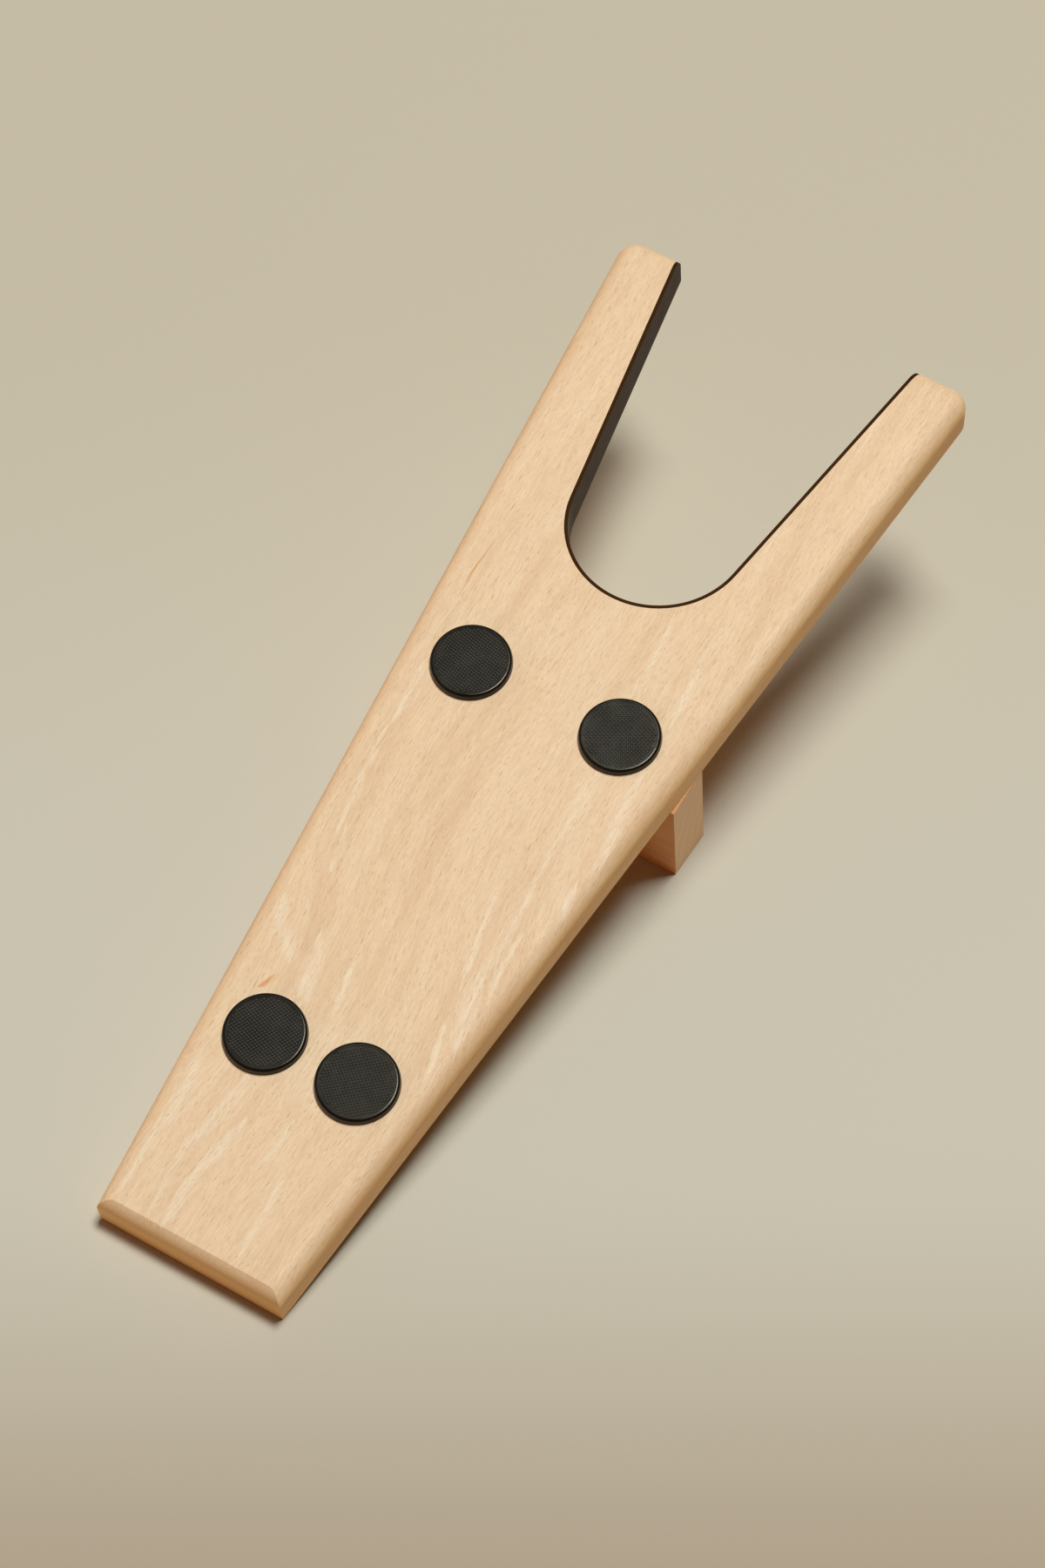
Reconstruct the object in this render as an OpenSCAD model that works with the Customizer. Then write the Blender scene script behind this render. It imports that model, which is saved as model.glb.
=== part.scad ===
// Boot jack: a forked beech board that leans on a cross block, with a lined mouth and four grip pads.
// It is drawn lying flat, heel end at y = 0, fork towards +Y, underside at z = 0,
// and the whole is then leaned back so that the heel edge and the foot of the block meet the floor.

/* [Board] */
// Length along the board, from the heel end to the fork tips
board_l = 353; // [335:0.5:400]
// Width across the heel end
heel_w = 61; // [52:0.5:75]
// Width across the fork tips
tip_w = 123; // [115:0.5:140]
// Thickness of the plank
board_t = 13.5; // [12:0.25:20]
// Radius of the roll along the upper edges
top_round_r = 5.25; // [2:0.25:6]
// Radius of the outer corners of the fork tips, seen from above
tip_corner_r = 6.5; // [6.25:0.25:12]
// Radius of the round across the heel end
heel_round_r = 6; // [5.75:0.25:8]
// How far that round comes down the end face; short of the radius it leaves a crease along the top
heel_round_drop = 5.25; // [3:0.25:5.5]
// Small flat that takes the sharpness off the lower edges
under_ease = 0.3; // [0.2:0.1:1.5]

/* [Mouth] */
// Depth of the mouth in the wood, from the fork tips to its closed end
mouth_depth = 115.5; // [105:0.5:118]
// Radius of the closed end of the mouth in the wood
mouth_r = 29; // [26:0.25:33]
// Lean of each side of the mouth away from the centre line, in degrees
mouth_flare = 9; // [5:0.25:10.5]
// Thickness of the rubber strip that lines the mouth
lining_t = 1.1; // [0.8:0.1:3]

/* [Support block] */
// Distance along the board from the heel end to the near face of the block
block_from_heel = 189.5; // [175:0.5:195]
// Height of the near face of the block, from the board down to the floor
block_h = 41.5; // [38:0.5:60]
// Thickness of the block along the board
block_l = 17; // [14:0.5:24]
// Width of the block across the board
block_w = 96.5; // [80:0.5:100]

/* [Grip pads] */
// Diameter of a pad at its base
pad_d = 25; // [20:0.5:28]
// Height of a pad above its adhesive disc
pad_h = 2; // [1.5:0.1:4]
// Diameter of the flat top of a pad
pad_top_d = 22.8; // [16:0.1:23]
// Radius of the shoulder between the top of a pad and its side
pad_shoulder_r = 0.9; // [0.4:0.1:1]
// Diameter of the sunk field on top of a pad that carries the texture
pad_field_d = 22; // [10:0.1:22.2]
// Depth of that field below the rim
pad_field_sink = 0.15; // [0.05:0.05:0.5]
// Thickness of the adhesive disc under a pad
adhesive_t = 0.2; // [0.1:0.05:0.5]
// How far the adhesive disc stops short of the edge of its pad
adhesive_inset = 0.5; // [0.2:0.1:2]
// Distance along the board from the heel end to the heel pads
heel_pad_from_heel = 66.5; // [45:0.5:100]
// Distance between the centres of the two heel pads
heel_pad_spacing = 31; // [29:0.5:36]
// Distance between the centres of the two ball pads, and of the screws under them
ball_pad_spacing = 51; // [36:0.5:62]

/* [Block screws] */
// Outer diameter of a screw
screw_d = 4; // [3:0.1:5]
// Length of a screw from the top of its head to its point
screw_l = 40; // [32:1:45]
// Diameter of a screw head
screw_head_d = 8; // [7:0.1:10]
// Length of the pointed end of a screw
screw_point_l = 4; // [2:0.5:6]
// Depth of a screw head below the top of the board
screw_sink = 0.5; // [0.2:0.1:1.5]
// Gap between a screw and the wall of its hole in the board
screw_clearance = 0.25; // [0.1:0.05:0.6]
// Span of the cross in a screw head
drive_span = 4.4; // [3:0.1:4.8]
// Width of each slot of the cross
drive_slot = 0.9; // [0.6:0.1:1.4]
// Depth of the cross
drive_depth = 1.8; // [1:0.1:2]

/* [Hidden] */
$fn = 96;

LEFT = -1;
RIGHT = 1;

// How far a cutting shape runs past the faces that it cuts
cut_over = 2;
// Tiny outward set of a rolled edge, so that it crosses the flat faces instead of grazing them
graze = 0.01;

// Lean of the board, set by the height and the place of the block
tilt = atan(block_h / block_from_heel);
// Lean of each long side away from the centre line
taper = atan((tip_w - heel_w) / (2 * board_l));

// Centre of the right tip corner, and where its arc meets the long side
corner_x = heel_w / 2 + ((board_l - tip_corner_r) * sin(taper) - tip_corner_r) / cos(taper);
corner_y = board_l - tip_corner_r;
side_end_x = corner_x + tip_corner_r * cos(taper);
side_end_y = corner_y - tip_corner_r * sin(taper);
side_run = side_end_y / cos(taper);

mouth_y = board_l - mouth_depth + mouth_r;
block_mid = block_from_heel + block_l / 2;
pad_base_z = board_t + adhesive_t;
screw_head_h = (screw_head_d - screw_d) / 2;

// Height on the end face where the round across the heel end starts
heel_shoulder_z = board_t - heel_round_drop;

// Half of the leaned board's reach along the floor, which centres the part over its origin
mid_y = (board_l * cos(tilt) - (under_ease + heel_shoulder_z) * sin(tilt)
         - heel_round_r * (1 - cos(tilt))) / 2;

beech = [0.90, 0.77, 0.61];
beech_block = [0.84, 0.68, 0.50];
black_rubber = [0.09, 0.09, 0.09];
lining_rubber = [0.13, 0.10, 0.08];
adhesive_film = [0.80, 0.79, 0.74];
zinc = [0.75, 0.75, 0.72];

// Leans what is drawn along the board back onto the floor
module leaned() {
    translate([0, -mid_y, 0]) rotate([tilt, 0, 0]) children();
}

// The mouth seen from above: a round closed end with straight sides that flare to the tips.
// inset draws it smaller by the same amount all round, and past_tips runs it out of the fork.
module mouth_plan(inset, past_tips) {
    r = mouth_r - inset;
    touch_x = r * cos(mouth_flare);
    touch_y = mouth_y - r * sin(mouth_flare);
    end_y = board_l + past_tips;
    end_x = touch_x + (end_y - touch_y) * tan(mouth_flare);
    translate([0, mouth_y]) circle(r);
    polygon([[-touch_x, touch_y], [touch_x, touch_y], [end_x, end_y], [-end_x, end_y]]);
}

// The whole outline seen from above, before the mouth is cut
module plank_plan() {
    polygon([[-heel_w / 2, 0], [heel_w / 2, 0], [side_end_x, side_end_y], [corner_x, board_l],
             [-corner_x, board_l], [-side_end_x, side_end_y]]);
    for (side = [LEFT, RIGHT]) translate([side * corner_x, corner_y]) circle(tip_corner_r);
}

// Section of the wood taken away by the roll: x is measured out from the edge, y up from the underside
module roll_section() {
    translate([graze - top_round_r, graze + board_t - top_round_r]) difference() {
        square(top_round_r + cut_over);
        circle(top_round_r);
    }
}

// Section taken off a lower edge, measured in the same way
module ease_section() {
    polygon([[-under_ease - cut_over, -cut_over], [cut_over, -cut_over], [cut_over, under_ease + cut_over]]);
}

// Runs an edge section straight along +Y
module straight_run(l) {
    translate([0, l, 0]) rotate([90, 0, 0]) linear_extrude(l) children();
}

// Runs an edge section up both long sides, round the tip corners and across the tips.
// The straight runs reach a little into each corner, where the turned run cuts deeper anyway.
module round_the_fork() {
    for (side = [0, 1]) mirror([side, 0, 0]) {
        translate([heel_w / 2, 0, 0]) rotate(-taper) translate([0, -cut_over, 0])
            straight_run(side_run + 2 * cut_over) children();
        translate([corner_x, corner_y, 0]) rotate(-taper) rotate_extrude(angle = 90 + taper)
            translate([tip_corner_r + graze, 0]) children();
        translate([corner_x + cut_over, board_l, 0]) rotate(90)
            straight_run(corner_x + 2 * cut_over) children();
    }
}

// Wood taken away by the round across the heel end
module heel_round_cut() {
    translate([-heel_w / 2 - cut_over, 0, 0]) rotate([90, 0, 90]) linear_extrude(heel_w + 2 * cut_over)
        translate([heel_round_r - graze, heel_shoulder_z]) difference() {
            translate([-heel_round_r - cut_over, 0]) square([heel_round_r + cut_over, heel_round_drop + cut_over]);
            circle(heel_round_r);
        }
}

module at_screw(side) {
    translate([side * ball_pad_spacing / 2, block_mid, board_t - screw_sink]) children();
}

// Countersunk head, shank and point, with the top of the head at z = 0
module screw_body() {
    translate([0, 0, -screw_head_h]) cylinder(h = screw_head_h, d1 = screw_d, d2 = screw_head_d);
    translate([0, 0, screw_point_l - screw_l]) cylinder(h = screw_l - screw_point_l, d = screw_d);
    translate([0, 0, -screw_l]) cylinder(h = screw_point_l, d1 = 0, d2 = screw_d);
}

// The room that a screw takes in the board: a countersunk hole, sunk below the top
module screw_hole() {
    translate([0, 0, -screw_head_h]) cylinder(h = screw_head_h, d1 = screw_d, d2 = screw_head_d);
    cylinder(h = screw_sink + cut_over, d = screw_head_d);
    translate([0, 0, -board_t - cut_over]) cylinder(h = board_t + cut_over, d = screw_d + 2 * screw_clearance);
}

module board() {
    color(beech) leaned() difference() {
        linear_extrude(board_t) difference() {
            plank_plan();
            mouth_plan(0, cut_over);
        }
        round_the_fork() roll_section();
        round_the_fork() ease_section();
        heel_round_cut();
        for (side = [LEFT, RIGHT]) at_screw(side) screw_hole();
    }
}

// Square block across the underside, with its foot cut along the floor
module support_block() {
    near_y = block_from_heel;
    far_y = block_from_heel + block_l;
    color(beech_block) leaned() difference() {
        translate([-block_w / 2, 0, 0]) rotate([90, 0, 90]) linear_extrude(block_w)
            polygon([[near_y, 0], [far_y, 0], [far_y, -far_y * tan(tilt)], [near_y, -near_y * tan(tilt)]]);
        for (side = [LEFT, RIGHT]) at_screw(side) screw_body();
    }
}

// One strip bent round the inside of the mouth and trimmed with the fork tips
module mouth_lining() {
    color(lining_rubber) leaned() difference() {
        linear_extrude(board_t) difference() {
            mouth_plan(0, 0);
            mouth_plan(lining_t, cut_over);
        }
        round_the_fork() roll_section();
        round_the_fork() ease_section();
    }
}

// Half of the section through a pad: drafted side, round shoulder, flat top with a sunk field
module pad_section() {
    shoulder_z = pad_h - pad_shoulder_r;
    difference() {
        union() {
            polygon([[0, 0], [pad_d / 2, 0], [pad_top_d / 2 + pad_shoulder_r, shoulder_z], [0, shoulder_z]]);
            square([pad_top_d / 2, pad_h]);
            translate([pad_top_d / 2, shoulder_z]) circle(pad_shoulder_r);
        }
        translate([0, pad_h - pad_field_sink]) square([pad_field_d / 2, pad_field_sink + cut_over]);
    }
}

module grip_pad(x, y) {
    color(black_rubber) leaned() translate([x, y, pad_base_z]) rotate_extrude() pad_section();
}

module adhesive_disc(x, y) {
    color(adhesive_film) leaned() translate([x, y, board_t])
        cylinder(h = adhesive_t, d = pad_d - 2 * adhesive_inset);
}

module ball_pad(side) {
    grip_pad(side * ball_pad_spacing / 2, block_mid);
}

module ball_pad_adhesive(side) {
    adhesive_disc(side * ball_pad_spacing / 2, block_mid);
}

module heel_pad(side) {
    grip_pad(side * heel_pad_spacing / 2, heel_pad_from_heel);
}

module heel_pad_adhesive(side) {
    adhesive_disc(side * heel_pad_spacing / 2, heel_pad_from_heel);
}

module block_screw(side) {
    color(zinc) leaned() at_screw(side) difference() {
        screw_body();
        for (turn = [0, 90]) rotate(turn) cube([drive_span, drive_slot, 2 * drive_depth], center = true);
    }
}

board();
support_block();
mouth_lining();
ball_pad(LEFT);  // ball_pad_left
ball_pad(RIGHT);  // ball_pad_right
heel_pad(LEFT);  // heel_pad_left
heel_pad(RIGHT);  // heel_pad_right
ball_pad_adhesive(LEFT);  // ball_pad_adhesive_left
ball_pad_adhesive(RIGHT);  // ball_pad_adhesive_right
heel_pad_adhesive(LEFT);  // heel_pad_adhesive_left
heel_pad_adhesive(RIGHT);  // heel_pad_adhesive_right
block_screw(LEFT);  // block_screw_left
block_screw(RIGHT);  // block_screw_right
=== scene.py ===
"""Dresses a boot jack: beech, rubber, film and zinc, the raised grip on its pads, and a plain studio.

Every object is in metres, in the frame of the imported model: +X right, +Y towards the fork, +Z up.
"""

import logging
import math
from dataclasses import dataclass
from enum import Enum
from typing import Any, Callable

import bmesh
import bpy
from mathutils import Matrix, Vector


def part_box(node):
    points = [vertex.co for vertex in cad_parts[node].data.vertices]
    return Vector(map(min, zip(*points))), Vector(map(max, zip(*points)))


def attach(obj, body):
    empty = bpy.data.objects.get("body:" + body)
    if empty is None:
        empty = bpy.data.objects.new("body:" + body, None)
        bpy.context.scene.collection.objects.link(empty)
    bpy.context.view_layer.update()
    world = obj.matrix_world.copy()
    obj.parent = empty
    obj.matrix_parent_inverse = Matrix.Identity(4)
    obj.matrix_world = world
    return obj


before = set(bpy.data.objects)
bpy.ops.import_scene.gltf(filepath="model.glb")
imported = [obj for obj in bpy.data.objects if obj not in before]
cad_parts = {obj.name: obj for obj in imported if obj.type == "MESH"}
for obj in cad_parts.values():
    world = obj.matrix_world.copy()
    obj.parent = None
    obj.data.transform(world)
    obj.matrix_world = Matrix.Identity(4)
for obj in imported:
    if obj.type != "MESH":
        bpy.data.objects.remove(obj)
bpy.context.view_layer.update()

log = logging.getLogger("boot_jack")

MM = 0.001
BODY = "boot_jack"

Colour = tuple[float, float, float, float]
Socket = bpy.types.NodeSocket

# Sizes of what repeats in the wood, in millimetres across, along and into it
WANDER_CELL = (26.0, 95.0, 26.0)
WANDER_REACH = (9.0, 0.0, 9.0)
PATCH_CELL = (13.0, 48.0, 13.0)
STREAK_CELL = (2.1, 42.0, 2.1)
TONE_CELL = (8.0, 120.0, 8.0)
PORE_CELL = (0.2, 1.3, 0.2)
FIBRE_CELL = (0.62, 6.5, 0.62)
KNOT_REACH = (9.0, 15.0, 30.0)
WAVE_CELL = (5.0, 14.0, 9.0)
WAVE_REACH = (3.2, 0.0, 0.0)
BREAK_CELL = (1.2, 11.0, 9.0)
COARSE_DASH = {"Cell": (1.45, 3.3, 2.4), "Half Width": 0.10, "Half Length": 1.4, "Half Depth": 2.0}
FINE_DASH = {"Cell": (0.8, 1.9, 1.6), "Half Width": 0.075, "Half Length": 0.9, "Half Depth": 1.4}

# Share of a nub's radius and of its height at each ring of its corners, from the foot up
NUB_RINGS = ((1.0, -0.05), (0.86, 0.5), (0.5, 0.92))


def paint(red: int, green: int, blue: int) -> Colour:
    """Turns a colour as a screen shows it into the linear light that a shader takes.

    Args:
        red: Red from 0 to 255.
        green: Green from 0 to 255.
        blue: Blue from 0 to 255.

    Returns:
        The linear red, green and blue with full alpha.
    """
    def linear(level: int) -> float:
        """One channel, from the screen's curve to straight light."""
        part = level / 255
        return part / 12.92 if part <= 0.04045 else ((part + 0.055) / 1.055) ** 2.4

    return linear(red), linear(green), linear(blue), 1.0


class Side(Enum):
    """The two sides of the board, for someone who stands on it and faces the fork."""

    LEFT = "left"
    RIGHT = "right"


@dataclass(frozen=True)
class BoardLie:
    """Where the leaned board lies, so that a piece or a pattern can be set out along it.

    Fields:
        lean: Angle between the underside of the board and the floor.
        heel: Where the heel end lies along the leaned axis.
        underside: Where the underside lies square to the leaned axis.
    """

    lean: float
    heel: float
    underside: float

    @classmethod
    def measured(cls) -> "BoardLie":
        """Reads the lean from two pads at one height on the board, and its corner from the board itself.

        Returns:
            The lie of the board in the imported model.
        """
        low, high = (sum(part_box(node), Vector()) / 2
                     for node in ("heel_pad_adhesive_left", "ball_pad_adhesive_left"))
        lean = math.atan2(high.z - low.z, high.y - low.y)
        flat = Matrix.Rotation(-lean, 3, "X")
        corners = [flat @ vertex.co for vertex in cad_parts["board"].data.vertices]
        return cls(lean, min(c.y for c in corners), min(c.z for c in corners))

    def matrix(self) -> Matrix:
        """The move from places along the board to the frame of the model."""
        return Matrix.Rotation(self.lean, 4, "X") @ Matrix.Translation((0, self.heel, self.underside))


@dataclass(frozen=True)
class Stroke:
    """One streak of colour in the wood, from one point of the face to another.

    Fields:
        start: Place across and along the board, in millimetres.
        end: The other end, in the same way.
        width: Width of the streak at its middle. Below 0, its sharp and soft sides change places.
    """

    start: tuple[float, float]
    end: tuple[float, float]
    width: float


class Graph:
    """Adds nodes to one tree and wires each of them as it is made."""

    def __init__(self, tree: bpy.types.NodeTree) -> None:
        """Keeps the tree that the nodes go into."""
        self.tree = tree

    def add(self, kind: str, feeds: dict[str | int, Any] | None = None,
            **settings: Any) -> bpy.types.Node:
        """Makes a node.

        Args:
            kind: Type of the node, without the words that every shader node's type starts with.
            feeds: Socket names or numbers, each with a value or with the output that feeds it.
            settings: Properties of the node.

        Returns:
            The new node.
        """
        node = self.tree.nodes.new("ShaderNode" + kind)
        for name, value in settings.items():
            setattr(node, name, value)
        for key, value in (feeds or {}).items():
            self.feed(node.inputs[key], value)
        return node

    def group(self, tree: bpy.types.NodeTree, feeds: dict[str, Any]) -> bpy.types.Node:
        """Makes a node that runs a shader group, with what feeds it by name."""
        node = self.add("Group", node_tree=tree)
        for name, value in feeds.items():
            self.feed(node.inputs[name], value)
        return node

    def feed(self, socket: Socket, value: Any) -> None:
        """Wires an output to a socket, or sets the socket's own value."""
        if isinstance(value, Socket):
            self.tree.links.new(value, socket)
        else:
            socket.default_value = value

    def math(self, operation: str, first: Any, second: Any = 0.0, third: Any = 0.0) -> Socket:
        """One step of arithmetic on numbers, and its result."""
        return self.add("Math", {0: first, 1: second, 2: third}, operation=operation).outputs[0]

    def vector(self, operation: str, first: Any, second: Any = (0.0, 0.0, 0.0)) -> Socket:
        """One step of arithmetic on vectors, and its result."""
        return self.add("VectorMath", {0: first, 1: second}, operation=operation).outputs[0]

    def dot(self, first: Any, second: Any) -> Socket:
        """The dot product of two vectors."""
        return self.add("VectorMath", {0: first, 1: second}, operation="DOT_PRODUCT").outputs["Value"]

    def length(self, vector: Any) -> Socket:
        """The length of a vector."""
        return self.add("VectorMath", {0: vector}, operation="LENGTH").outputs["Value"]

    def split(self, vector: Socket) -> tuple[Socket, Socket, Socket]:
        """The three parts of a vector."""
        parts = self.add("SeparateXYZ", {0: vector}).outputs
        return parts[0], parts[1], parts[2]

    def join(self, x: Any, y: Any, z: Any) -> Socket:
        """A vector from three parts."""
        return self.add("CombineXYZ", {0: x, 1: y, 2: z}).outputs[0]

    def step(self, value: Any, low: float, high: float,
             start: float = 0.0, end: float = 1.0) -> Socket:
        """A smooth step from start to end while the value goes from low to high."""
        feeds = {"Value": value, "From Min": low, "From Max": high, "To Min": start, "To Max": end}
        return self.add("MapRange", feeds, interpolation_type="SMOOTHSTEP").outputs[0]

    def noise(self, place: Any, detail: float = 2.0, roughness: float = 0.5) -> bpy.types.Node:
        """Soft noise with cells of about one unit."""
        feeds = {"Vector": place, "Scale": 1.0, "Detail": detail, "Roughness": roughness}
        return self.add("TexNoise", feeds)

    def cells(self, place: Any, scatter: float = 1.0) -> bpy.types.Node:
        """Scattered points, one to each unit cell, with the distance to the nearest."""
        return self.add("TexVoronoi", {"Vector": place, "Scale": 1.0, "Randomness": scatter})

    def among(self, place: Any, cell: tuple[float, float, float]) -> Socket:
        """A place counted in cells of a size."""
        return self.vector("DIVIDE", place, cell)

    def blend(self, factor: Any, under: Any, over: Any, mode: str = "MIX") -> Socket:
        """Two colours mixed by a factor."""
        node = self.add("Mix", data_type="RGBA", blend_type=mode)
        for number, value in ((0, factor), (6, under), (7, over)):
            self.feed(node.inputs[number], value)
        return node.outputs[2]


@dataclass(frozen=True)
class Port:
    """One named socket of a shader group.

    Fields:
        name: Name on the group.
        kind: Float, Vector or Color.
        value: What an input holds where nothing feeds it.
    """

    name: str
    kind: str = "Float"
    value: Any = None


def shader_group(name: str, takes: list[Port], gives: list[Port],
                 wire: Callable[[Graph, dict[str, Socket]], dict[str, Socket]]) -> bpy.types.NodeTree:
    """Builds a shader group once.

    Args:
        name: Name of the group.
        takes: Its inputs.
        gives: Its outputs.
        wire: Makes the nodes between them, from the inputs by name to the outputs by name.

    Returns:
        The group's tree.
    """
    if name in bpy.data.node_groups:
        return bpy.data.node_groups[name]
    tree = bpy.data.node_groups.new(name, "ShaderNodeTree")
    for port in takes:
        kind = "NodeSocket" + port.kind
        socket = tree.interface.new_socket(port.name, in_out="INPUT", socket_type=kind)
        if port.value is not None:
            socket.default_value = port.value
    for port in gives:
        tree.interface.new_socket(port.name, in_out="OUTPUT", socket_type="NodeSocket" + port.kind)
    entry = tree.nodes.new("NodeGroupInput")
    leave = tree.nodes.new("NodeGroupOutput")
    graph = Graph(tree)
    results = wire(graph, {port.name: entry.outputs[port.name] for port in takes})
    for port in gives:
        graph.feed(leave.inputs[port.name], results[port.name])
    return tree


def timber_axes() -> bpy.types.NodeTree:
    """The group that finds a point's place in a piece of wood, in millimetres.

    Returns:
        A group that gives Place, with the grain along its second axis, End, which is 1 on end grain, and
        Flank, which is 1 on an upright face and 0 on the top.
    """
    def wire(graph: Graph, given: dict[str, Socket]) -> dict[str, Socket]:
        """Turns the object's own coordinates and normal into the axes of the grain."""
        def along_grain(vector: Socket) -> Socket:
            """Takes the lean out and turns the grain to the second axis."""
            feeds = {"Vector": vector, "Angle": given["Lean"]}
            level = graph.add("VectorRotate", feeds, rotation_type="X_AXIS", invert=True).outputs[0]
            feeds = {"Vector": level, "Rotation": given["Turn"]}
            return graph.add("VectorRotate", feeds, rotation_type="EULER_XYZ").outputs[0]

        own = graph.add("TexCoord").outputs
        place = graph.vector("SUBTRACT", along_grain(own["Object"]), given["Corner"])
        place = graph.vector("SCALE", place)
        place.node.inputs["Scale"].default_value = 1 / MM
        _, facing, upward = graph.split(along_grain(own["Normal"]))
        return {"Place": place, "End": graph.step(graph.math("ABSOLUTE", facing), 0.5, 1.0),
                "Flank": graph.step(upward, 0.1, 0.9, 1.0, 0.0)}

    return shader_group(
        "timber_axes",
        [Port("Lean"), Port("Turn", "Vector"), Port("Corner", "Vector")],
        [Port("Place", "Vector"), Port("End"), Port("Flank")], wire)


def ray_dashes() -> bpy.types.NodeTree:
    """The group that scatters the short thin dashes where the rays of the wood meet its face.

    Returns:
        A group that turns a place in millimetres into a mask, from the cell and the half sizes of a dash.
    """
    def wire(graph: Graph, given: dict[str, Socket]) -> dict[str, Socket]:
        """Draws one dash about the point of each cell."""
        place = graph.vector("DIVIDE", given["Place"], given["Cell"])
        cell = graph.cells(place, 0.85)
        off = graph.vector("SUBTRACT", place, cell.outputs["Position"])
        off = graph.vector("MULTIPLY", off, given["Cell"])
        across, along, deep = graph.split(off)
        length, force, girth = graph.split(cell.outputs["Color"])
        half_width = graph.math("MULTIPLY", graph.math("ADD", girth, 0.7), given["Half Width"])
        half_length = graph.math("MULTIPLY", graph.math("ADD", length, 0.4), given["Half Length"])
        inside = graph.length(graph.join(graph.math("DIVIDE", across, half_width),
                                         graph.math("DIVIDE", along, half_length),
                                         graph.math("DIVIDE", deep, given["Half Depth"])))
        force = graph.math("MULTIPLY_ADD", graph.math("POWER", force, 1.5), 0.85, 0.15)
        return {"Mask": graph.math("MULTIPLY", graph.step(inside, 0.5, 1.1, 1.0, 0.0), force)}

    return shader_group(
        "ray_dashes",
        [Port("Place", "Vector"), Port("Cell", "Vector"), Port("Half Width"), Port("Half Length"),
         Port("Half Depth")],
        [Port("Mask")], wire)


def wavy_place() -> bpy.types.NodeTree:
    """The group that makes straight streaks waver and break up, as they do in wood.

    Returns:
        A group that turns a place in millimetres into a flat wavering one and a patchy mask.
    """
    def wire(graph: Graph, given: dict[str, Socket]) -> dict[str, Socket]:
        """Shifts the place across the grain and draws the patches along it."""
        wave = graph.noise(graph.among(given["Place"], WAVE_CELL), 2.0).outputs["Color"]
        wave = graph.vector("MULTIPLY", graph.vector("SUBTRACT", wave, (0.5, 0.5, 0.5)), WAVE_REACH)
        place = graph.vector("MULTIPLY", graph.vector("ADD", given["Place"], wave), (1.0, 1.0, 0.0))
        patch = graph.noise(graph.among(given["Place"], BREAK_CELL), 3.0).outputs[0]
        return {"Wavy Place": place, "Patch": graph.step(patch, 0.25, 0.62, 0.3, 1.0)}

    return shader_group(
        "wavy_place",
        [Port("Place", "Vector")],
        [Port("Wavy Place", "Vector"), Port("Patch")], wire)


def soft_stroke() -> bpy.types.NodeTree:
    """The group that lays one streak between two points, sharp on one side and soft on the other.

    Returns:
        A group that turns a flat place in millimetres into a mask. A width below 0 swaps the two sides.
    """
    def wire(graph: Graph, given: dict[str, Socket]) -> dict[str, Socket]:
        """Measures how far a point is along the line between the two ends and to its side."""
        run = graph.vector("SUBTRACT", given["End"], given["Start"])
        away = graph.vector("SUBTRACT", given["Place"], given["Start"])
        share = graph.math("DIVIDE", graph.dot(away, run), graph.dot(run, run))
        girth = graph.math("MULTIPLY", share, graph.math("SUBTRACT", 1.0, share))
        girth = graph.math("MAXIMUM", graph.math("MULTIPLY", girth, 4.0), 0.001)
        across = graph.split(graph.vector("CROSS_PRODUCT", run, away))[2]
        across = graph.math("DIVIDE", across, graph.length(run))
        across = graph.math("DIVIDE", across, graph.math("MULTIPLY", given["Width"], girth))
        sharp = graph.step(across, -0.45, 0.15)
        soft = graph.step(across, 0.2, 1.5, 1.0, 0.0)
        mask = graph.math("MULTIPLY", sharp, soft)
        return {"Mask": graph.math("MULTIPLY", mask, graph.step(girth, 0.02, 0.4))}

    return shader_group(
        "soft_stroke",
        [Port("Place", "Vector"), Port("Start", "Vector"), Port("End", "Vector"), Port("Width")],
        [Port("Mask")], wire)


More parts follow.
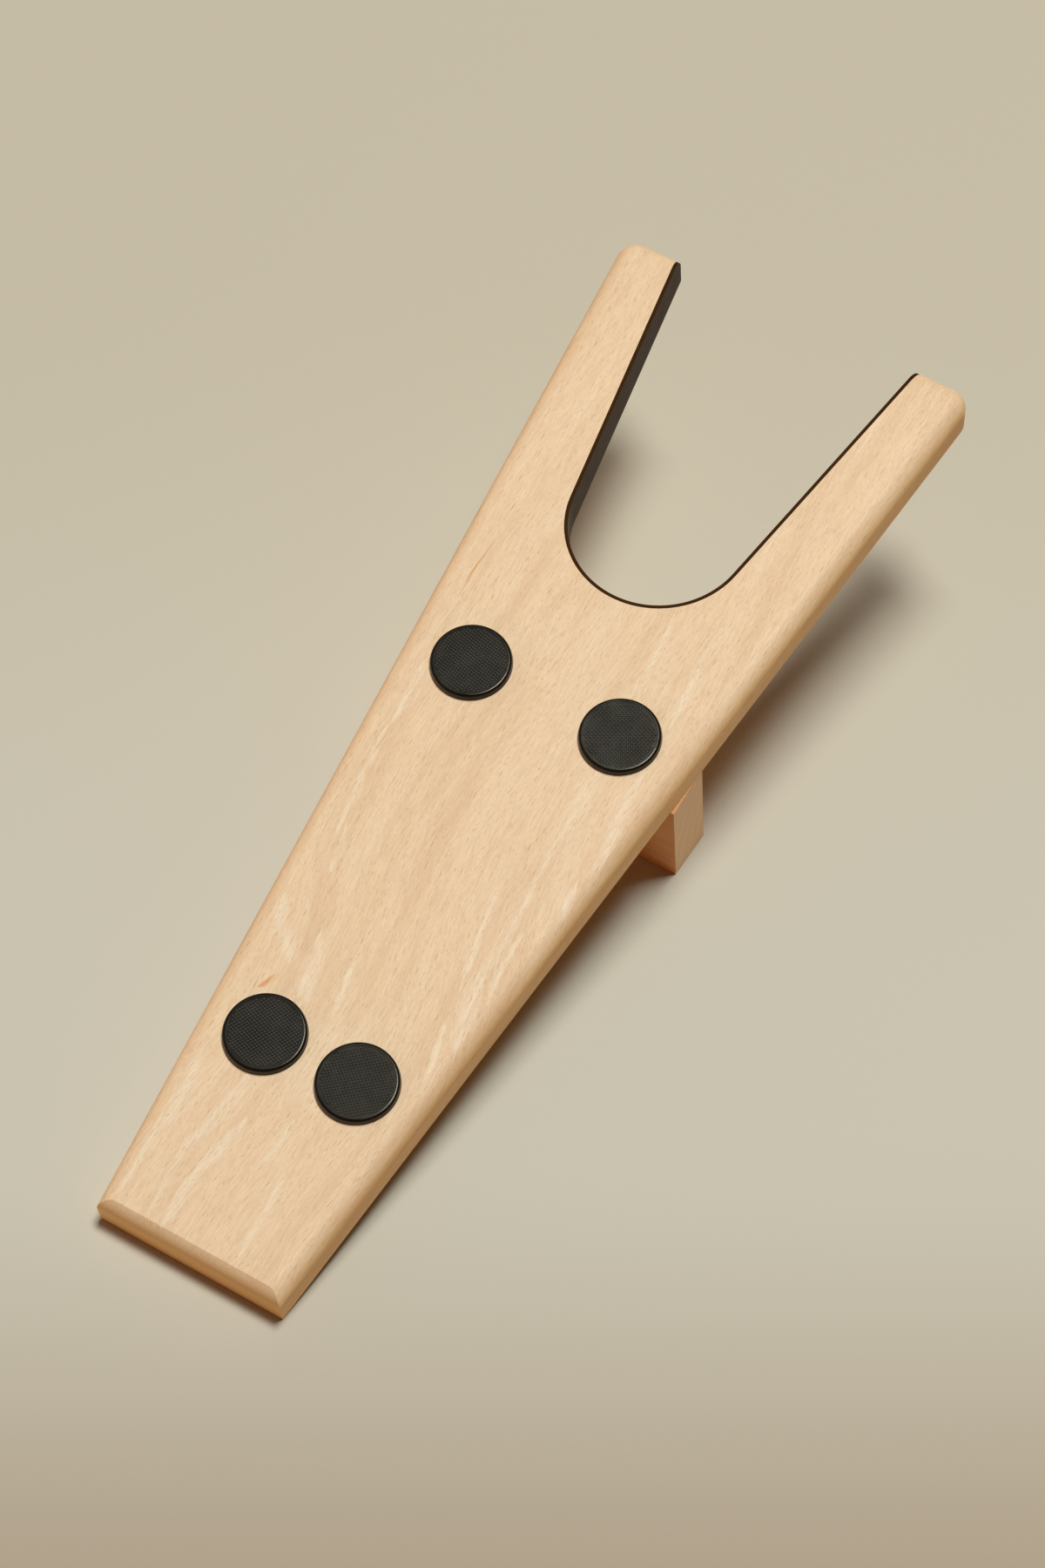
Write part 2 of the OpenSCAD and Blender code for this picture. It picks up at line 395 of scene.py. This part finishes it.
def beech_figure() -> bpy.types.NodeTree:
    """The group that gives beech in three dimensions, as cut by whichever face shows.

    Returns:
        A group that gives a colour, a roughness and a height from a place in millimetres.
    """
    def wire(graph: Graph, given: dict[str, Socket]) -> dict[str, Socket]:
        """Lays rings, tone, streaks, flecks and fibres over one another."""
        place = given["Place"]
        wander = graph.noise(graph.among(place, WANDER_CELL), 2.0).outputs["Color"]
        wander = graph.vector("SUBTRACT", wander, (0.5, 0.5, 0.5))
        bent = graph.vector("ADD", place, graph.vector("MULTIPLY", wander, WANDER_REACH))
        along = graph.split(place)[1]
        sweep = graph.math("ADD", graph.step(along, 70.0, 165.0), graph.step(along, 10.0, 75.0, 0.35, 0.0))
        sweep = graph.math("MULTIPLY", sweep, given["Sweep"])
        bent = graph.vector("ADD", bent, graph.join(sweep, 0.0, 0.0))
        x, y, z = graph.split(graph.vector("SUBTRACT", bent, given["Pith"]))

        ring = graph.length(graph.join(x, 0.0, z))
        ring = graph.math("ADD", ring, graph.math("MULTIPLY", y, given["Cone"]))
        near = graph.among(graph.vector("SUBTRACT", place, given["Knot"]), KNOT_REACH)
        near = graph.step(graph.length(near), 0.0, 1.6, 1.0, 0.0)
        ring = graph.math("ADD", ring, graph.math("MULTIPLY", near, given["Knot Pull"]))
        turn = graph.math("FRACT", graph.math("DIVIDE", ring, given["Ring Gap"]))
        late = graph.math("MAXIMUM", graph.step(turn, 0.0, 0.5, 1.0, 0.0), graph.step(turn, 0.94, 1.0))

        patch = graph.noise(graph.among(place, PATCH_CELL), 1.0).outputs[0]
        pale = graph.math("MULTIPLY", late, graph.step(patch, 0.40, 0.66))
        streak = graph.noise(graph.among(bent, STREAK_CELL), 2.0).outputs[0]
        streak = graph.step(streak, 0.55, 0.74)
        pale = graph.math("MULTIPLY", pale, 0.55)
        pale = graph.math("MAXIMUM", pale, graph.math("MULTIPLY", streak, 0.5))
        pale = graph.math("MAXIMUM", graph.math("MULTIPLY", pale, given["Paleness"]), given["Placed Pale"])
        tone = graph.noise(graph.among(bent, TONE_CELL), 3.0, 0.55).outputs[0]

        colour = graph.blend(graph.step(tone, 0.36, 0.68), given["Body"], given["Deep"])
        colour = graph.blend(pale, colour, given["Pale"])
        colour = graph.blend(given["Placed Warm"], colour, given["Warm"])

        coarse = graph.group(ray_dashes(), {"Place": bent, **COARSE_DASH}).outputs[0]
        fine = graph.group(ray_dashes(), {"Place": bent, **FINE_DASH}).outputs[0]
        fleck = graph.math("MAXIMUM", coarse, graph.math("MULTIPLY", fine, 0.6))
        fleck = graph.math("MULTIPLY", fleck, graph.math("MULTIPLY_ADD", given["Flank"], -0.9, 1.0))

        pore = graph.cells(graph.among(bent, PORE_CELL))
        pore = graph.step(pore.outputs["Distance"], 0.12, 0.3, 1.0, 0.0)
        fibre = graph.noise(graph.among(bent, FIBRE_CELL), 3.0, 0.75).outputs[0]

        colour = graph.blend(graph.step(fibre, 0.32, 0.7, 0.0, 0.24), colour, given["Fleck"])
        colour = graph.blend(graph.math("MULTIPLY", pore, 0.10), colour, given["Fleck"])
        colour = graph.blend(graph.math("MULTIPLY", fleck, given["Flecking"]), colour, given["Fleck"])
        end = graph.blend(graph.math("MULTIPLY", late, 0.35), given["End Colour"], given["Body"])
        end = graph.blend(graph.step(fibre, 0.3, 0.72, 0.0, 0.12), end, given["Fleck"])
        colour = graph.blend(given["End"], colour, end)
        # Painted shade: upright faces and rolled edges are multiplied darker and warmer, as if lit by warm
        # bounced light
        colour = graph.blend(given["Flank"], colour, given["Edge Tint"], "MULTIPLY")

        roughness = graph.math("MULTIPLY_ADD", fibre, 0.14, 0.46)
        roughness = graph.math("MULTIPLY_ADD", fleck, 0.12, roughness)
        height = graph.math("MULTIPLY", fibre, 0.5)
        height = graph.math("MULTIPLY_ADD", fleck, -0.6, height)
        height = graph.math("MULTIPLY_ADD", pore, -0.4, height)
        return {"Color": colour, "Roughness": roughness, "Height": height}

    return shader_group(
        "beech_figure",
        [Port("Place", "Vector"), Port("End"), Port("Flank"), Port("Pith", "Vector"),
         Port("Cone", value=0.03), Port("Sweep"), Port("Edge Tint", "Color"),
         Port("Ring Gap"), Port("Knot", "Vector"), Port("Knot Pull"),
         Port("Placed Pale"), Port("Placed Warm"), Port("Warm", "Color"),
         Port("Body", "Color"), Port("Deep", "Color"), Port("Pale", "Color"), Port("Fleck", "Color"),
         Port("End Colour", "Color"), Port("Paleness", value=0.7), Port("Flecking", value=0.7)],
        [Port("Color", "Color"), Port("Roughness"), Port("Height")], wire)


def rubber_skin() -> bpy.types.NodeTree:
    """The group that gives moulded rubber its dusty, slightly mottled skin.

    Returns:
        A group that gives a colour, a roughness and a height from the object's own coordinates.
    """
    def wire(graph: Graph, given: dict[str, Socket]) -> dict[str, Socket]:
        """Mixes fine grain with broader dusty patches."""
        own = graph.add("TexCoord").outputs["Object"]
        fine = graph.noise(graph.among(own, (0.12 * MM,) * 3), 3.0, 0.6).outputs[0]
        broad = graph.noise(graph.among(own, (6 * MM,) * 3), 3.0, 0.6).outputs[0]
        dust = graph.math("MULTIPLY", graph.step(broad, 0.4, 0.75), given["Dust"])
        dust = graph.math("ADD", dust, graph.math("MULTIPLY", graph.step(fine, 0.55, 0.8), given["Dust"]))
        colour = graph.blend(dust, given["Rubber"], given["Bloom"])
        roughness = graph.math("MULTIPLY_ADD", broad, 0.16, given["Roughness"])
        roughness = graph.math("MULTIPLY_ADD", fine, 0.08, roughness)
        return {"Color": colour, "Roughness": roughness, "Height": fine}

    return shader_group(
        "rubber_skin",
        [Port("Rubber", "Color"), Port("Bloom", "Color"), Port("Dust"), Port("Roughness")],
        [Port("Color", "Color"), Port("Roughness"), Port("Height")], wire)


class Finish:
    """What every finish shares: a material with one main shader."""

    def start(self, name: str) -> tuple[bpy.types.Material, Graph, bpy.types.Node]:
        """Makes an empty material.

        Args:
            name: Name of the material.

        Returns:
            The material, a graph on its tree, and its main shader.
        """
        material = bpy.data.materials.new(name)
        material.use_nodes = True
        material.node_tree.nodes.clear()
        graph = Graph(material.node_tree)
        shader = graph.add("BsdfPrincipled")
        graph.add("OutputMaterial", {"Surface": shader.outputs[0]})
        return material, graph, shader

    def bump(self, graph: Graph, shader: bpy.types.Node, height: Socket, depth: float) -> None:
        """Feeds a height into the shader's normal.

        Args:
            graph: Graph of the material.
            shader: Its main shader.
            height: Height from 0 to 1.
            depth: What a height of 1 stands for, in metres.
        """
        bump = graph.add("Bump", {"Height": height, "Distance": depth, "Strength": 1.0})
        graph.feed(shader.inputs["Normal"], bump.outputs[0])


@dataclass(frozen=True)
class BeechFinish(Finish):
    """Sanded beech with a matt oil.

    Fields:
        name: Name of the material.
        lie: Lie of the board, which the block shares.
        turn: Turn that brings the grain to the second axis.
        pith: Heart of the tree, from the corner of the board, in millimetres.
        knot: Middle of a small knot, in the same way.
        knot_pull: How far the rings bend round the knot.
        sweep: How far the grain leans across the board on its way along it.
        ring_gap: Distance between growth rings.
        body: Main colour.
        deep: Colour of the darker stripes.
        pale: Colour of the pale streaks.
        fleck: Colour of the ray flecks.
        end: Colour of end grain.
        warm: Colour of the marks about a knot.
        flank_shade_tint: What the colour is multiplied by on the upright faces and the rolled edges, a
            painted shade that makes them darker and warmer, as warm bounced light would.
        pale_strokes: Pale streaks that lie at known places.
        warm_strokes: Marks about a knot.
    """

    name: str
    lie: BoardLie
    turn: tuple[float, float, float] = (0.0, 0.0, 0.0)
    pith: tuple[float, float, float] = (8.0, 0.0, -58.0)
    knot: tuple[float, float, float] = (-25.0, 93.0, 13.5)
    knot_pull: float = 3.0
    sweep: float = 11.0
    ring_gap: float = 4.6
    body: Colour = paint(242, 207, 168)
    deep: Colour = paint(234, 196, 156)
    pale: Colour = paint(247, 219, 186)
    fleck: Colour = paint(190, 142, 98)
    end: Colour = paint(250, 212, 166)
    warm: Colour = paint(226, 156, 94)
    flank_shade_tint: Colour = (0.98, 0.89, 0.60, 1.0)
    pale_strokes: tuple[Stroke, ...] = ()
    warm_strokes: tuple[Stroke, ...] = ()

    def material(self) -> bpy.types.Material:
        """The finished material."""
        material, graph, shader = self.start(self.name)
        corner = (0.0, self.lie.heel, self.lie.underside)
        axes = graph.group(timber_axes(), {"Lean": self.lie.lean, "Turn": self.turn, "Corner": corner})
        place = axes.outputs["Place"]
        feeds = {"Place": place, "End": axes.outputs["End"], "Flank": axes.outputs["Flank"],
                 "Pith": self.pith, "Knot": self.knot, "Knot Pull": self.knot_pull, "Sweep": self.sweep,
                 "Ring Gap": self.ring_gap, "Body": self.body, "Deep": self.deep, "Pale": self.pale,
                 "Fleck": self.fleck, "End Colour": self.end, "Edge Tint": self.flank_shade_tint,
                 "Warm": self.warm,
                 "Placed Pale": self.strokes(graph, place, self.pale_strokes),
                 "Placed Warm": self.strokes(graph, place, self.warm_strokes)}
        wood = graph.group(beech_figure(), feeds)
        graph.feed(shader.inputs["Base Color"], wood.outputs["Color"])
        graph.feed(shader.inputs["Roughness"], wood.outputs["Roughness"])
        graph.feed(shader.inputs["Specular IOR Level"], 0.3)
        self.bump(graph, shader, wood.outputs["Height"], 0.03 * MM)
        return material

    def strokes(self, graph: Graph, place: Socket, strokes: tuple[Stroke, ...]) -> Socket | float:
        """Lays streaks side by side.

        Args:
            graph: Graph of the material.
            place: Place in the wood, in millimetres.
            strokes: The streaks.

        Returns:
            A mask of them all, or nothing where there are none.
        """
        if not strokes:
            return 0.0
        wavy = graph.group(wavy_place(), {"Place": place}).outputs
        mask: Socket | float = 0.0
        for stroke in strokes:
            feeds = {"Place": wavy["Wavy Place"], "Start": (*stroke.start, 0.0), "End": (*stroke.end, 0.0),
                     "Width": stroke.width}
            mask = graph.math("MAXIMUM", mask, graph.group(soft_stroke(), feeds).outputs["Mask"])
        return graph.math("MULTIPLY", mask, wavy["Patch"])


@dataclass(frozen=True)
class RubberFinish(Finish):
    """Black rubber.

    Fields:
        name: Name of the material.
        rubber: Colour of clean rubber.
        bloom: Colour of the bloom and dust on it.
        dust: How much of that bloom there is.
        roughness: Roughness of the cleanest rubber.
        shine: Strength of the reflections.
        sheen: Colour of the reflections.
    """

    name: str
    rubber: Colour = paint(16, 15, 13)
    bloom: Colour = paint(34, 32, 29)
    dust: float = 0.2
    roughness: float = 0.12
    shine: float = 0.3
    sheen: Colour = paint(255, 236, 212)

    def material(self) -> bpy.types.Material:
        """The finished material."""
        material, graph, shader = self.start(self.name)
        feeds = {"Rubber": self.rubber, "Bloom": self.bloom, "Dust": self.dust, "Roughness": self.roughness}
        skin = graph.group(rubber_skin(), feeds)
        graph.feed(shader.inputs["Base Color"], skin.outputs["Color"])
        graph.feed(shader.inputs["Roughness"], skin.outputs["Roughness"])
        graph.feed(shader.inputs["Specular IOR Level"], self.shine)
        graph.feed(shader.inputs["Specular Tint"], self.sheen)
        self.bump(graph, shader, skin.outputs["Height"], 0.006 * MM)
        return material


@dataclass(frozen=True)
class FilmFinish(Finish):
    """Pale double-sided adhesive film, a little cloudy.

    Fields:
        name: Name of the material.
        clear: Colour of the film.
        cloudy: Colour of its cloudy patches.
    """

    name: str = "adhesive_film"
    clear: Colour = paint(226, 222, 206)
    cloudy: Colour = paint(238, 236, 226)

    def material(self) -> bpy.types.Material:
        """The finished material."""
        material, graph, shader = self.start(self.name)
        own = graph.add("TexCoord").outputs["Object"]
        cloud = graph.noise(graph.among(own, (2 * MM,) * 3), 4.0).outputs[0]
        graph.feed(shader.inputs["Base Color"], graph.blend(cloud, self.clear, self.cloudy))
        graph.feed(shader.inputs["Roughness"], graph.step(cloud, 0.3, 0.7, 0.35, 0.55))
        self.bump(graph, shader, cloud, 0.02 * MM)
        return material


@dataclass(frozen=True)
class ZincFinish(Finish):
    """Zinc-plated steel, with the faint spangle of its plating.

    Fields:
        name: Name of the material.
        bright: Colour of the plating.
        dull: Colour of the duller grains in it.
    """

    name: str = "screw_steel"
    bright: Colour = paint(214, 214, 206)
    dull: Colour = paint(186, 184, 172)

    def material(self) -> bpy.types.Material:
        """The finished material."""
        material, graph, shader = self.start(self.name)
        own = graph.add("TexCoord").outputs["Object"]
        spangle = graph.noise(graph.among(own, (0.7 * MM,) * 3), 3.0, 0.7).outputs[0]
        graph.feed(shader.inputs["Base Color"], graph.blend(spangle, self.bright, self.dull))
        graph.feed(shader.inputs["Roughness"], graph.step(spangle, 0.3, 0.7, 0.24, 0.42))
        graph.feed(shader.inputs["Metallic"], 1.0)
        self.bump(graph, shader, spangle, 0.01 * MM)
        return material


@dataclass(frozen=True)
class FloorFinish(Finish):
    """A matt painted studio floor, painted darker towards the front and a little darker towards the back,
    as painted shade.

    Fields:
        name: Name of the material.
        near: Colour at the front of the picture, darkened as painted shade.
        middle: Colour about the foot of the part.
        far: Colour at the back, a little darker and yellower as painted shade.
        away: Direction from the front to the back, on the floor.
    """

    name: str = "studio_floor"
    near: Colour = paint(174, 153, 130)
    middle: Colour = paint(206, 196, 179)
    far: Colour = paint(202, 189, 168)
    away: tuple[float, float, float] = (-0.546, 0.838, 0.0)

    def material(self) -> bpy.types.Material:
        """The finished material."""
        material, graph, shader = self.start(self.name)
        own = graph.add("TexCoord").outputs["Object"]
        away = graph.dot(own, self.away)
        # Painted shade: the floor's colour darkens towards the front and a little towards the back, where
        # less light falls
        colour = graph.blend(graph.step(away, -0.08, 0.25), self.middle, self.far)
        colour = graph.blend(graph.step(away, -0.29, -0.10), self.near, colour)
        graph.feed(shader.inputs["Base Color"], colour)
        graph.feed(shader.inputs["Roughness"], 0.9)
        graph.feed(shader.inputs["Specular IOR Level"], 0.1)
        return material


def dress(node: str, material: bpy.types.Material) -> None:
    """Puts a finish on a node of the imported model.

    Args:
        node: Name of the node.
        material: The finish.
    """
    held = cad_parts[node]
    if not held.material_slots:
        held.data.materials.append(material)
    for place in held.material_slots:
        place.material = material
    log.info("dressed %s with %s", node, material.name)


def piece_from(name: str, mesh: bmesh.types.BMesh, material: bpy.types.Material) -> bpy.types.Object:
    """Makes a piece that rides with the boot jack.

    Args:
        name: Name of the piece.
        mesh: Its shape, which is freed.
        material: Its finish.

    Returns:
        The new object.
    """
    data = bpy.data.meshes.new(name)
    mesh.to_mesh(data)
    mesh.free()
    data.materials.append(material)
    data.polygons.foreach_set("use_smooth", [True] * len(data.polygons))
    piece = bpy.data.objects.new(name, data)
    bpy.context.scene.collection.objects.link(piece)
    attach(piece, BODY)
    log.info("made %s with %d faces", name, len(data.polygons))
    return piece


PALE_STROKES = (
    Stroke((-38.0, 192), (-36.3, 168), 2.4), Stroke((-36.8, 170), (-35.0, 146), 1.8),
    Stroke((-35.9, 156), (-31.4, 128), 2.2), Stroke((-30.5, 136), (-26.5, 118), 2.0),
    Stroke((-34.7, 108), (-30.4, 93), 3.2), Stroke((-32.5, 98), (-20.5, 88), 4.3),
    Stroke((-19.4, 103), (-13.6, 79), 3.5), Stroke((-17.0, 101), (-9.8, 80), -4.3),
    Stroke((-6.2, 101), (-1.9, 79), 2.0), Stroke((18.0, 140), (22.5, 118), 1.9),
    Stroke((21.6, 130), (26.6, 104), -2.0), Stroke((24.9, 186), (27.2, 140), 1.6),
    Stroke((26.0, 152), (30.2, 112), 2.2), Stroke((28.5, 122), (35.3, 86), -4.3),
    Stroke((32.5, 132), (34.6, 104), -2.0), Stroke((27.0, 96), (31.0, 74), 1.9),
    Stroke((37.2, 194), (42.6, 155), -3.8), Stroke((38.4, 152), (41.4, 138), -3.5),
    Stroke((-29.6, 58), (-26.2, 26), 3.5), Stroke((-12.7, 57), (-18.6, 21), 3.2),
    Stroke((-18.4, 32), (-16.2, 1), 2.4), Stroke((-6.9, 44), (-11.6, 18), 3.5),
    Stroke((-11.4, 27), (-10.4, 1), 3.2), Stroke((5.4, 50), (4.0, 32), 2.2),
    Stroke((11.5, 36), (12.8, 3), 2.2), Stroke((-28.2, 34), (-26.2, 3), 1.9),
    Stroke((19.6, 245), (21.4, 208), 1.9), Stroke((33.8, 232), (36.2, 206), 2.0),
)
WARM_STROKES = (
    Stroke((-22.6, 85.0), (-25.4, 77.6), 1.6), Stroke((-41.8, 240), (-40.6, 214), 0.5),
)


@dataclass
class Board:
    """The forked board and the rubber strip in its mouth.

    Fields:
        lie: Lie of the board.
    """

    lie: BoardLie

    def dress(self) -> None:
        """Gives the board its beech and the strip its rubber."""
        wood = BeechFinish("board_beech", self.lie, pale_strokes=PALE_STROKES, warm_strokes=WARM_STROKES)
        dress("board", wood.material())
        strip = RubberFinish("lining_rubber", rubber=paint(52, 30, 12), bloom=paint(76, 51, 26), dust=0.2,
                             roughness=0.36, shine=0.08, sheen=paint(255, 170, 84))
        dress("mouth_lining", strip.material())


@dataclass
class SupportBlock:
    """The block under the board, with the screws that hold it.

    Fields:
        lie: Lie of the board, which the block is cut to.
    """

    lie: BoardLie

    def dress(self) -> None:
        """Gives the block its own beech, with the grain across the board, and zinc to the screws. Its beech
        is deeper and more orange than the board's, a painted shade for its faces that stand in shadow under
        the board.
        """
        across = (0.0, 0.0, math.radians(90))
        # Painted shade: the block's body and deep colours are deeper and more orange than the board's, for
        # its faces in shadow under the board
        wood = BeechFinish("block_beech", self.lie, turn=across, pith=(-150.0, 0.0, -70.0), knot_pull=0.0,
                           sweep=0.0, body=paint(236, 177, 120), deep=paint(226, 161, 100),
                           end=paint(236, 203, 158), flank_shade_tint=(1.0, 1.0, 1.0, 1.0))
        dress("support_block", wood.material())
        zinc = ZincFinish().material()
        for side in Side:
            dress(f"block_screw_{side.value}", zinc)


@dataclass
class GripPads:
    """The four rubber pads, their adhesive and the raised pattern in the field of each.

    Fields:
        lie: Lie of the board.
        field_d: Diameter of the sunk field.
        field_sink: Depth of the field below the rim.
        nub_pitch: Distance between the nubs of a row.
        row_pitch: Distance between rows, each of which is half a nub on from the last.
        nub_d: Diameter of a nub at its foot.
        nub_h: Height of a nub above the field.
        nub_sides: Number of sides of a nub.
    """

    lie: BoardLie
    field_d: float = 22 * MM
    field_sink: float = 0.15 * MM
    nub_pitch: float = 1.17 * MM
    row_pitch: float = 0.7 * MM
    nub_d: float = 0.94 * MM
    nub_h: float = 0.26 * MM
    nub_sides: int = 6

    def dress(self) -> None:
        """Finishes the pads and their adhesive and lays the nubs."""
        rubber = RubberFinish("pad_rubber").material()
        worn = RubberFinish("pad_rubber_worn", rubber=paint(58, 57, 53), bloom=paint(84, 83, 77),
                            roughness=0.34, shine=0.2).material()
        film = FilmFinish().material()
        turns = {("ball", Side.LEFT): 39.0, ("ball", Side.RIGHT): 29.0,
                 ("heel", Side.LEFT): -69.0, ("heel", Side.RIGHT): -89.0}
        for (end, side), turn in turns.items():
            pad = f"{end}_pad_{side.value}"
            dress(pad, rubber)
            dress(f"{end}_pad_adhesive_{side.value}", film)
            piece_from(f"{pad}_grip", self.nubs(pad, math.radians(turn)), worn)

    def nubs(self, pad: str, turn: float) -> bmesh.types.BMesh:
        """Fills the field of a pad with rows of nubs.

        Args:
            pad: Node of the pad.
            turn: Turn of the rows on the board.

        Returns:
            The nubs, in the frame of the model.
        """
        flat = self.lie.matrix().inverted()
        points = [flat @ vertex.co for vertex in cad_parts[pad].data.vertices]
        middle = Vector(((min(p.x for p in points) + max(p.x for p in points)) / 2,
                         (min(p.y for p in points) + max(p.y for p in points)) / 2,
                         max(p.z for p in points) - self.field_sink))
        shape = bmesh.new()
        reach = int(self.field_d / self.row_pitch / 2) + 1
        for row in range(-reach, reach + 1):
            for column in range(-reach, reach + 1):
                spot = Vector(((column + row % 2 / 2) * self.nub_pitch, row * self.row_pitch, 0))
                if spot.length < (self.field_d - self.nub_d) / 2:
                    self.nub(shape, middle + Matrix.Rotation(turn, 3, "Z") @ spot, turn)
        shape.transform(self.lie.matrix())
        return shape

    def nub(self, shape: bmesh.types.BMesh, at: Vector, turn: float) -> None:
        """Adds one domed nub.

        Args:
            shape: Mesh that takes it.
            at: Middle of its foot.
            turn: Turn of its sides.
        """
        rings = []
        for share, rise in NUB_RINGS:
            radius = self.nub_d / 2 * share
            ring = []
            for number in range(self.nub_sides):
                angle = turn + 2 * math.pi * number / self.nub_sides
                ring.append(shape.verts.new(
                    at + Vector((radius * math.cos(angle), radius * math.sin(angle), self.nub_h * rise))))
            rings.append(ring)
        for low, high in zip(rings, rings[1:]):
            for number in range(self.nub_sides):
                after = (number + 1) % self.nub_sides
                shape.faces.new((low[number], low[after], high[after], high[number]))
        top = shape.verts.new(at + Vector((0, 0, self.nub_h)))
        for number in range(self.nub_sides):
            shape.faces.new((rings[-1][number], rings[-1][(number + 1) % self.nub_sides], top))
        shape.faces.new(list(reversed(rings[0])))


@dataclass
class Studio:
    """The floor, the lamps and the camera.

    Fields:
        eye: Place of the camera.
        aim: Point on the floor in the middle of the picture.
        roll: Turn of the picture.
        lens: Focal length for a picture whose long side is 36 mm.
        key_place: Place of the large lamp overhead.
        key_size: Its sides.
        key_share: Share of a white surface's brightness that it gives.
        key_colour: Its colour.
        side: Fill from the left of the part.
        rim: Warm fill from all round, close to the floor.
        rim_top: Height of that band, as the sine of its angle.
        wall: What the camera sees past the floor.
        floor_reach: Half the side of the floor.
    """

    eye: tuple[float, float, float] = (0.32609, -0.66394, 1.01351)
    aim: tuple[float, float, float] = (-0.00829, 0.02661, 0.0)
    roll: float = math.radians(5.80)
    lens: float = 94.82
    key_place: tuple[float, float, float] = (0.22, 0.33, 3.6)
    key_size: tuple[float, float] = (1.4, 0.9)
    key_share: float = 1.0
    key_colour: tuple[float, float, float] = (0.90, 0.975, 0.965)
    side: Colour = (0.42, 0.32, 0.26, 1.0)
    rim: Colour = (1.06, 0.34, 0.13, 1.0)
    rim_top: float = 0.24
    wall: Colour = paint(203, 190, 173)
    floor_reach: float = 4.0

    def build(self) -> None:
        """Makes the floor, the lamps, the world and the camera."""
        self.floor()
        self.key_lamp()
        self.world()
        self.camera()
        bpy.context.scene.view_settings.view_transform = "Standard"

    def floor(self) -> None:
        """Lays a wide plain floor."""
        shape = bmesh.new()
        bmesh.ops.create_grid(shape, x_segments=1, y_segments=1, size=self.floor_reach)
        data = bpy.data.meshes.new("studio_floor")
        shape.to_mesh(data)
        shape.free()
        data.materials.append(FloorFinish().material())
        floor = bpy.data.objects.new("studio_floor", data)
        bpy.context.scene.collection.objects.link(floor)

    def key_lamp(self) -> None:
        """Hangs a large soft lamp over the part."""
        lamp = bpy.data.lights.new("key_lamp", "AREA")
        lamp.shape = "RECTANGLE"
        lamp.size, lamp.size_y = self.key_size
        # From this far, such a lamp lights a white floor to a brightness of about the share
        lamp.energy = math.pi ** 2 * self.key_place[2] ** 2 * self.key_share
        lamp.color = self.key_colour
        key = bpy.data.objects.new("key_lamp", lamp)
        key.location = self.key_place
        key.rotation_euler = Vector(self.key_place).to_track_quat("Z", "Y").to_euler()
        bpy.context.scene.collection.objects.link(key)

    def world(self) -> None:
        """Gives a fill from the left and a warm one along the floor, seen as a pale wall."""
        world = bpy.data.worlds.new("studio_fill")
        world.use_nodes = True
        world.node_tree.nodes.clear()
        graph = Graph(world.node_tree)
        dark = (0.0, 0.0, 0.0, 1.0)
        right, _, height = graph.split(graph.add("TexCoord").outputs["Generated"])
        left = graph.math("MAXIMUM", graph.math("MULTIPLY", right, -1.0), 0.0)
        fill = graph.blend(left, dark, self.side)
        low = graph.math("MULTIPLY", graph.step(height, 0.0, self.rim_top, 1.0, 0.0),
                         graph.math("GREATER_THAN", height, 0.0))
        fill = graph.blend(1.0, fill, graph.blend(low, dark, self.rim), "ADD")
        seen = graph.add("LightPath").outputs["Is Camera Ray"]
        sky = graph.add("Background", {"Color": graph.blend(seen, fill, self.wall)})
        graph.add("OutputWorld", {"Surface": sky.outputs[0]})
        bpy.context.scene.world = world

    def camera(self) -> None:
        """Sets the camera where the photograph was taken from."""
        data = bpy.data.cameras.new("camera")
        data.lens = self.lens
        data.sensor_width = 36.0
        data.clip_start, data.clip_end = 0.05, 20.0
        camera = bpy.data.objects.new("camera", data)
        eye = Vector(self.eye)
        ahead = (Vector(self.aim) - eye).normalized()
        right = ahead.cross(Vector((0, 0, 1))).normalized()
        up = right.cross(ahead)
        turned = right * math.cos(self.roll) + up * math.sin(self.roll)
        axes = Matrix((turned, turned.cross(ahead), -ahead)).transposed()
        camera.matrix_world = Matrix.Translation(eye) @ axes.to_4x4()
        bpy.context.scene.collection.objects.link(camera)
        bpy.context.scene.camera = camera


def main() -> None:
    """Builds the dressed part and its studio, and logs the lean of the board."""
    logging.basicConfig(level=logging.INFO, format="%(name)s: %(message)s")
    lie = BoardLie.measured()
    log.info("the board leans %.3f degrees", math.degrees(lie.lean))
    Board(lie).dress()
    SupportBlock(lie).dress()
    GripPads(lie).dress()
    Studio().build()


if __name__ == "__main__":
    main()
